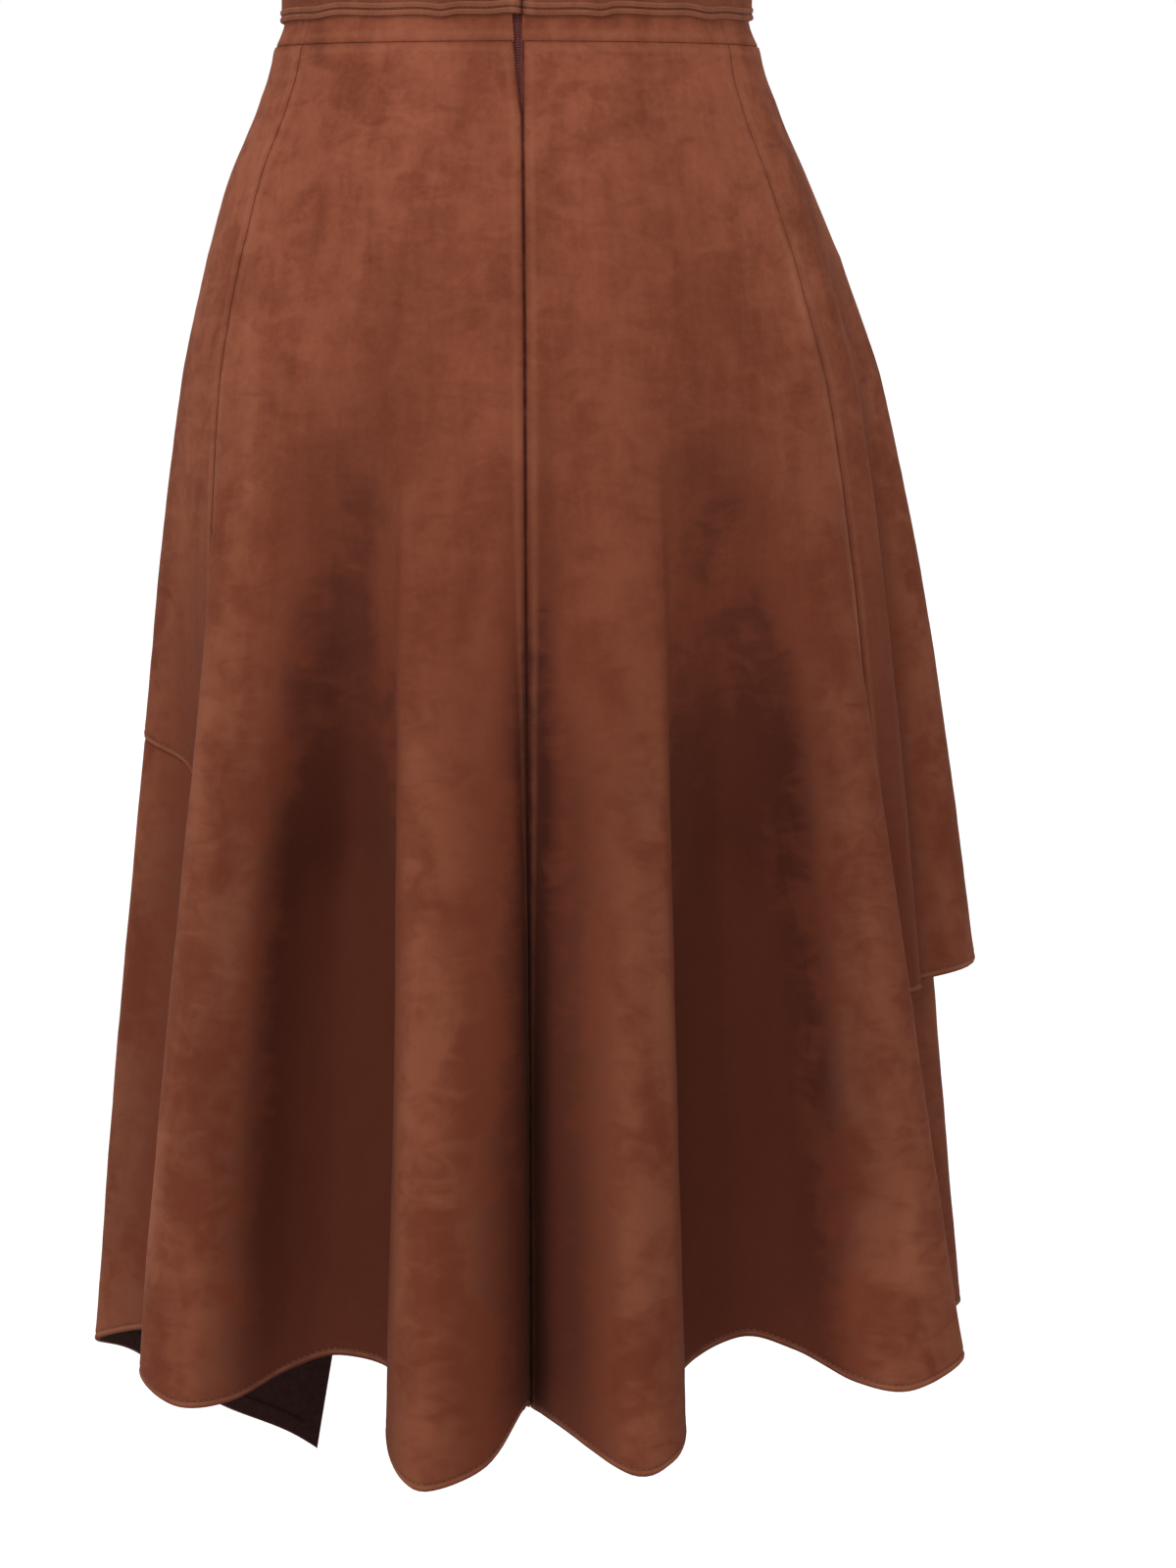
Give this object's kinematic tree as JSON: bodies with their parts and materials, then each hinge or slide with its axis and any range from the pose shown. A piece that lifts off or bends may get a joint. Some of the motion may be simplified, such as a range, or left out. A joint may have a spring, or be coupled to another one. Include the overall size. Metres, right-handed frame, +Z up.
{
  "type": "a-line skirt",
  "caption": "Brown faux suede midi a-line skirt with deep hanging folds at the back, a centre-back zip, a belt and a layered wrap front with a slanting overlay.",
  "frame": {"origin": "centre of the waist opening, at the height where the waistband is held", "axes": "+X to the wearer's right, +Y to the wearer's front, +Z up"},
  "size_m": [0.4665, 0.3839, 0.8439],
  "materials": {
    "suede": "soft brushed nap",
    "belt_suede": "soft brushed nap",
    "zip_tape": "woven tape",
    "zip_metal": "dark satin"
  },
  "bodies": {
    "root": {"back_left": "suede", "back_right": "suede", "front_left": "suede", "front_right": "suede", "overlay": "suede", "waistband_back_left": "suede", "waistband_back_right": "suede", "waistband_front": "suede", "belt_left": "belt_suede", "belt_right": "belt_suede", "zip_tape": "zip_tape", "zip_slider": "zip_metal"}
  },
  "joints": []
}
